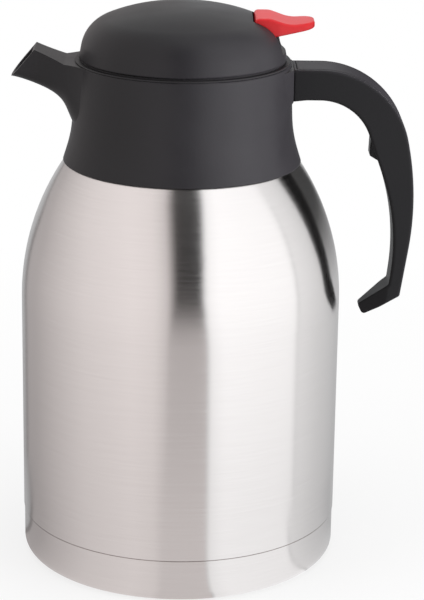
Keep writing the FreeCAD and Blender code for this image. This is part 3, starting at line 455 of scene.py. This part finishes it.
# %% Stopper ramps and collar lugs
RAMPS = 4
RAMP_SPACING = 360 / RAMPS
STOPPER_WALL = 40.6 * MM
COLLAR_BORE = 42.3 * MM
SUNK = 0.1 * MM
STANDS_OUT = 1.1 * MM
RAMP_START, RAMP_SWEEP = 20, 58
RAMP_FOOT, RAMP_TOP, RAMP_CLIMB = 0.4 * MM, 1.9 * MM, 1.0 * MM
LUG_START, LUG_SWEEP = 32, 34
LUG_FOOT, LUG_TOP, LUG_CLIMB = 3.4 * MM, 5.4 * MM, 0.6 * MM

gasket_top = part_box("neck_gasket")[1].z
bm = bmesh.new()
for count in range(RAMPS):
    arc_block(bm, STOPPER_WALL - SUNK, STOPPER_WALL + STANDS_OUT,
              RAMP_START + RAMP_SPACING * count, RAMP_SWEEP,
              lambda share: gasket_top + RAMP_FOOT + RAMP_CLIMB * share,
              lambda share: gasket_top + RAMP_TOP + RAMP_CLIMB * share)
link_mesh("stopper_ramps", bm, black_polypropylene, "lid")
bm = bmesh.new()
for count in range(RAMPS):
    arc_block(bm, COLLAR_BORE + SUNK, COLLAR_BORE - STANDS_OUT,
              LUG_START + RAMP_SPACING * count, LUG_SWEEP,
              lambda share: gasket_top + LUG_FOOT + LUG_CLIMB * share,
              lambda share: gasket_top + LUG_TOP)
link_mesh("collar_lugs", bm, black_polypropylene, "jug")

# %% [markdown]
# ## Floor
# The jug stands on a plain white sweep of paper. Lit paper keeps the jug's shadow but comes out
# grey, so a share of it is plain white to the eye and to mirrors. The share grows with distance:
# near the jug the shadow shows, and further out the paper evens out to white.

# %% Floor
FLOOR_REACH = 6.0
SHADOW_NEAR = 0.1
SHADOW_FAR = 0.5
NEAR_WHITE = 0.72


def seen_by_eye(tree):
    """1 for rays from the camera, from a mirror or through glass, and 0 for rays that light."""
    path = add_node(tree, "LightPath", {}).outputs
    seen = path["Is Camera Ray"]
    for kind in ("Is Glossy Ray", "Is Transmission Ray"):
        seen = add_node(tree, "Math", {
            0: seen, 1: path[kind],
        }, operation="MAXIMUM").outputs["Value"]
    return seen


def stage_object(name, bm, material):
    """A piece of the studio from a mesh."""
    mesh = bpy.data.meshes.new(name)
    bm.to_mesh(mesh)
    bm.free()
    mesh.materials.append(material)
    piece = bpy.data.objects.new(name, mesh)
    bpy.context.scene.collection.objects.link(piece)
    return piece


white_sweep, tree = start_material("white_sweep")
place = add_node(tree, "NewGeometry", {}).outputs["Position"]
away = add_node(tree, "VectorMath", {0: place}, operation="LENGTH").outputs["Value"]
even = add_node(tree, "MapRange", {
    "Value": away, "From Min": SHADOW_NEAR, "From Max": SHADOW_FAR,
    "To Min": NEAR_WHITE, "To Max": 1.0,
}).outputs["Result"]
share = add_node(tree, "Math", {0: seen_by_eye(tree), 1: even}, operation="MULTIPLY")
lit = add_node(tree, "BsdfDiffuse", {"Color": linear("f4f4f4")})
white = add_node(tree, "Emission", {"Color": linear("ffffff"), "Strength": 1.0})
paper = add_node(tree, "MixShader", {
    0: share.outputs["Value"], 1: lit.outputs["BSDF"], 2: white.outputs["Emission"],
})
add_node(tree, "OutputMaterial", {"Surface": paper.outputs["Shader"]})

bm = bmesh.new()
bmesh.ops.create_grid(bm, x_segments=1, y_segments=1, size=FLOOR_REACH)
floor = stage_object("floor", bm, white_sweep)
print("floor:", 2 * FLOOR_REACH, "m across")

# %% [markdown]
# ## Studio lamps
# Large soft lamps above and to both sides light the plastic. They stay out of mirror-like
# reflections, because the steel takes those from a light tent further on.

# %% Soft lamps
JUG_MIDDLE = Vector((0, 0, 0.14))


def soft_lamp(name, place, size, watts):
    """A square lamp that looks at the middle of the jug."""
    light = bpy.data.lights.new(name, "AREA")
    light.size = size
    light.energy = watts
    lamp = bpy.data.objects.new(name, light)
    bpy.context.scene.collection.objects.link(lamp)
    lamp.location = place
    lamp.rotation_euler = (JUG_MIDDLE - lamp.location).to_track_quat("-Z", "Y").to_euler()
    lamp.visible_glossy = False
    print(name, "at", place)
    return lamp


soft_lamp("lamp_above", (0.1, 0.2, 1.5), size=1.4, watts=9.5)
soft_lamp("lamp_right", (1.3, -0.7, 0.7), size=1.0, watts=10)
soft_lamp("lamp_left", (-1.3, -0.6, 0.7), size=1.0, watts=8)

# %% [markdown]
# Black pieces need more light than steel does. A low lamp on the right gives the collar and the
# lid their pale side, and one a little behind the handle gives it the pale edge along its bend.
# Light linking keeps both off the other pieces, as a photographer's flags would.

# %% Lamps for the black pieces
def only_on(lamp, name, pieces):
    """Let a lamp light these pieces alone."""
    lit_pieces = bpy.data.collections.new(name)
    for piece in pieces:
        lit_pieces.objects.link(piece)
    lamp.light_linking.receiver_collection = lit_pieces
    print(lamp.name, "only on", ", ".join(piece.name for piece in pieces))


only_on(soft_lamp("lamp_low_right", (0.61, -0.35, 0.22), size=0.4, watts=27),
        "black_pieces", [nodes["collar"], nodes["lid_cover"], seal])
only_on(soft_lamp("lamp_rim_right", (0.55, 0.06, 0.42), size=0.4, watts=30),
        "handle_pieces", [nodes["handle"], nodes["handle_cover"]])

# %% [markdown]
# ## Background
# The world is white to the eye, like the photograph's background, and lights the scene from all
# sides at under half of that, so that the lamps still model the forms.

# %% World
FILL_LEVEL = 0.45

world = bpy.data.worlds.new("studio")
bpy.context.scene.world = world
world.use_nodes = True
tree = world.node_tree
tree.nodes.clear()
level = add_node(tree, "MapRange", {
    "Value": seen_by_eye(tree), "To Min": FILL_LEVEL, "To Max": 1.0,
})
sky = add_node(tree, "Background", {
    "Color": linear("ffffff"), "Strength": level.outputs["Result"],
})
add_node(tree, "OutputWorld", {"Surface": sky.outputs["Background"]})
print("world: fill", FILL_LEVEL)

# %% [markdown]
# ## Light tent
# Brushed steel shows its surroundings more than itself, so the studio has to be there to be
# reflected. The photographer's panels stood round the jug: a warm wall on the left, a bright one
# on the right, and between them the dark slit for the lens. A picture of a studio could stand in
# for them, but a drawn tent needs none: a round wall with a floor, bright or dark by the angle
# round the jug, that only reflections can see. The angle is 0 towards the lens and grows towards
# the handle.

# %% Angle round the jug
SLIT_MIDDLE = math.radians(4.9)

tent_paper, tree = start_material("tent_paper")
place = add_node(tree, "NewGeometry", {}).outputs["Position"]
axes = add_node(tree, "SeparateXYZ", {"Vector": place}).outputs
height = axes["Z"]
to_lens = add_node(tree, "Math", {0: axes["Y"], 1: -1.0}, operation="MULTIPLY").outputs["Value"]
turn = add_node(tree, "Math", {0: axes["X"], 1: to_lens}, operation="ARCTAN2").outputs["Value"]
off_slit = add_node(tree, "Math", {0: turn, 1: SLIT_MIDDLE}, operation="SUBTRACT").outputs["Value"]
print("tent: slit at", round(math.degrees(SLIT_MIDDLE), 1), "degrees")

# %% [markdown]
# The slit isn't equally wide all the way up. Its reflection widens towards the shoulder, and on
# its right also near the foot, while the panels further right stay where they are. On the tent's
# floor it narrows towards the jug. All of this is done by stretching the angle: a share under 1
# makes what lies round the slit look wider.

# %% Stretch the angle
# Here and below, heights and distances are in metres and angles off the slit in radians.
TENT_RADIUS = 0.16
HIGH_FROM, HIGH_TO, HIGH_SHARE = 0.16, 0.3, 0.56
LOW_FROM, LOW_TO, LOW_SHARE = 0.09, 0.15, 0.75
RIGHT_EDGE = 0.05
STAY_FROM, STAY_TO = 0.35, 0.8
FLOOR_INNER = 0.09
FLOOR_SHARE = 1.3

wide_above = add_node(tree, "MapRange", {
    "Value": height, "From Min": HIGH_FROM, "From Max": HIGH_TO,
    "To Min": 1.0, "To Max": HIGH_SHARE,
}).outputs["Result"]
wide_below = add_node(tree, "MapRange", {
    "Value": height, "From Min": LOW_FROM, "From Max": LOW_TO,
    "To Min": LOW_SHARE, "To Max": 1.0,
}).outputs["Result"]
right_side = add_node(tree, "MapRange", {
    "Value": off_slit, "From Max": RIGHT_EDGE, "To Min": 1.0, "To Max": wide_below,
}).outputs["Result"]
near_slit = add_node(tree, "Math", {0: wide_above, 1: right_side}, operation="MULTIPLY")
on_wall = add_node(tree, "MapRange", {
    "Value": off_slit, "From Min": STAY_FROM, "From Max": STAY_TO,
    "To Min": near_slit.outputs["Value"], "To Max": 1.0,
}).outputs["Result"]
from_axis = add_node(tree, "VectorMath", {0: place}, operation="LENGTH").outputs["Value"]
on_floor = add_node(tree, "MapRange", {
    "Value": from_axis, "From Min": FLOOR_INNER, "From Max": TENT_RADIUS,
    "To Min": FLOOR_SHARE, "To Max": 1.0,
}).outputs["Result"]
stretch = add_node(tree, "Math", {0: on_wall, 1: on_floor}, operation="MULTIPLY").outputs["Value"]
turn = add_node(tree, "Math", {
    0: off_slit, 1: stretch, 2: SLIT_MIDDLE,
}, operation="MULTIPLY_ADD").outputs["Value"]
print("tent: slit drawn", round(1 / HIGH_SHARE, 2), "times as wide at the top")

# %% [markdown]
# The panels themselves are one ramp of colour by angle. The left one is warm paper and the right
# one is cooler and brighter, with a thin dark joint at its end, beyond which the paper turns grey.

# %% Panels
WARM = linear("fbf5f5")
COOL = linear("fbfcfe")
# Degrees round the jug, paper, brightness.
PANELS = [
    (-180, COOL, 0.8), (-150, COOL, 0.65), (-128, COOL, 0.55), (-124, WARM, 0.3),
    (-121.5, WARM, 0.3), (-119, WARM, 0.56), (-103, WARM, 0.6), (-76, WARM, 0.85),
    (-56, WARM, 1.04), (-26, WARM, 1.18), (-14, WARM, 1.12), (-7, WARM, 0.9),
    (-2, WARM, 0.06), (11, COOL, 0.06), (13.5, COOL, 1.4), (20, COOL, 1.56),
    (71, COOL, 1.48), (72.5, COOL, 0.85), (74.5, COOL, 1.2), (94, COOL, 1.0),
    (111, COOL, 0.86), (130, COOL, 0.66), (180, COOL, 0.8),
]

share = add_node(tree, "MapRange", {"Value": turn, "From Min": -math.pi, "From Max": math.pi})
panels = add_node(tree, "ValToRGB", {"Fac": share.outputs["Result"]})
stops = panels.color_ramp.elements
while len(stops) < len(PANELS):
    stops.new(0.5)
# A ramp's colours end at 1, so they are kept below it here and made brighter again later.
brightest = max(level for _, _, level in PANELS)
for stop, (degrees, tint, level) in zip(stops, PANELS):
    stop.position = (degrees + 180) / 360
    stop.color = [channel * level / brightest for channel in tint[:3]] + [1.0]
print("tent:", len(PANELS), "panel edges")

# %% [markdown]
# Behind the handle hangs a dark flag, which gives the steel's right shoulder its dark strip. The
# paper also dims a little towards the floor.

# %% Wall with its flag
FOOT_SHARE = 0.82
FOOT_TO = 0.14
FLAG_FROM, FLAG_FULL, FLAG_FALL, FLAG_TO = (math.radians(v) for v in (101, 107, 138, 150))
FLAG_LOW, FLAG_HIGH = 0.105, 0.17
FLAG_SHARE = 0.1

dim = add_node(tree, "MapRange", {
    "Value": height, "From Max": FOOT_TO,
    "To Min": FOOT_SHARE * brightest, "To Max": brightest,
}).outputs["Result"]
flag = add_node(tree, "MapRange", {
    "Value": turn, "From Min": FLAG_FROM, "From Max": FLAG_FULL,
}).outputs["Result"]
for value, start, end in ((turn, FLAG_TO, FLAG_FALL), (height, FLAG_LOW, FLAG_HIGH)):
    edge = add_node(tree, "MapRange", {"Value": value, "From Min": start, "From Max": end})
    flag = add_node(tree, "Math", {
        0: flag, 1: edge.outputs["Result"],
    }, operation="MULTIPLY").outputs["Value"]
clear = add_node(tree, "MapRange", {
    "Value": flag, "To Min": 1.0, "To Max": FLAG_SHARE,
}).outputs["Result"]
strength = add_node(tree, "Math", {0: dim, 1: clear}, operation="MULTIPLY").outputs["Value"]
wall = add_node(tree, "VectorMath", {
    0: panels.outputs["Color"], "Scale": strength,
}, operation="SCALE").outputs["Vector"]
print("tent: flag lets", FLAG_SHARE, "of the light through")

# %% [markdown]
# The dark slit ends above the floor, where the table in front of the lens throws warm light back,
# so the dark band on the steel fades to a pale one in its lower half.

# %% Pale foot of the slit
SLIT_FOOT = 0.127
SLIT_FADE = 0.03
SLIT_FOOT_LEVEL = 0.7
GLOW_TO, GLOW_SHARE = 0.06, 1.16
NEAR_FROM, NEAR_TO = 0.5, 0.9

foot = add_node(tree, "MapRange", {
    "Value": height, "From Min": SLIT_FOOT - SLIT_FADE, "From Max": SLIT_FOOT + SLIT_FADE,
    "To Min": SLIT_FOOT_LEVEL, "To Max": 0.0,
}, interpolation_type="SMOOTHSTEP").outputs["Result"]
low_glow = add_node(tree, "MapRange", {
    "Value": height, "From Max": GLOW_TO, "To Min": GLOW_SHARE, "To Max": 1.0,
}).outputs["Result"]
aside = add_node(tree, "Math", {0: off_slit}, operation="ABSOLUTE").outputs["Value"]
near = add_node(tree, "MapRange", {
    "Value": aside, "From Min": NEAR_FROM, "From Max": NEAR_TO, "To Min": 1.0, "To Max": 0.0,
}).outputs["Result"]
for share in (low_glow, near):
    foot = add_node(tree, "Math", {0: foot, 1: share}, operation="MULTIPLY").outputs["Value"]
foot = add_node(tree, "VectorMath", {
    0: WARM[:3], "Scale": foot,
}, operation="SCALE").outputs["Vector"]
print("tent: slit pale below", round(SLIT_FOOT / MM), "mm")

# %% [markdown]
# High up at the back the tent glows, which puts a sheen on the lid's dome. Wall, pale foot and
# glow are joined by taking the brightest of them.

# %% Glow at the back
RISE_FROM, RISE_TO = 0.28, 0.34
BACK_FROM, BACK_TO = 0.03, 0.1
BACK_GLOW = 0.9

rise = add_node(tree, "MapRange", {
    "Value": height, "From Min": RISE_FROM, "From Max": RISE_TO,
}).outputs["Result"]
behind = add_node(tree, "MapRange", {
    "Value": axes["Y"], "From Min": BACK_FROM, "From Max": BACK_TO, "To Max": BACK_GLOW,
}).outputs["Result"]
back = add_node(tree, "Math", {0: rise, 1: behind}, operation="MULTIPLY").outputs["Value"]
glow = wall
for light in (foot, back):
    glow = add_node(tree, "VectorMath", {
        0: glow, 1: light,
    }, operation="MAXIMUM").outputs["Vector"]
light = add_node(tree, "Emission", {"Color": glow, "Strength": 1.0})
add_node(tree, "OutputMaterial", {"Surface": light.outputs["Emission"]})
print("tent: glow", BACK_GLOW, "at the back")

# %% [markdown]
# The tent is a closed tube without its lid, standing just clear of the floor. It neither shows nor
# lights nor throws a shadow: only reflections find it.

# %% Tent
TENT_HEIGHT = 0.6
TENT_GAP = 0.5 * MM

bm = bmesh.new()
bmesh.ops.create_cone(bm, cap_ends=True, segments=128, radius1=TENT_RADIUS, radius2=TENT_RADIUS,
                      depth=TENT_HEIGHT,
                      matrix=Matrix.Translation((0, 0, TENT_HEIGHT / 2 + TENT_GAP)))
open_top = [face for face in bm.faces if face.calc_center_median().z > TENT_HEIGHT * 0.9]
bmesh.ops.delete(bm, geom=open_top, context="FACES_ONLY")
tent = stage_object("light_tent", bm, tent_paper)
tent.visible_camera = False
tent.visible_diffuse = False
tent.visible_shadow = False
tent.visible_transmission = False
print("tent:", len(tent.data.polygons), "faces")
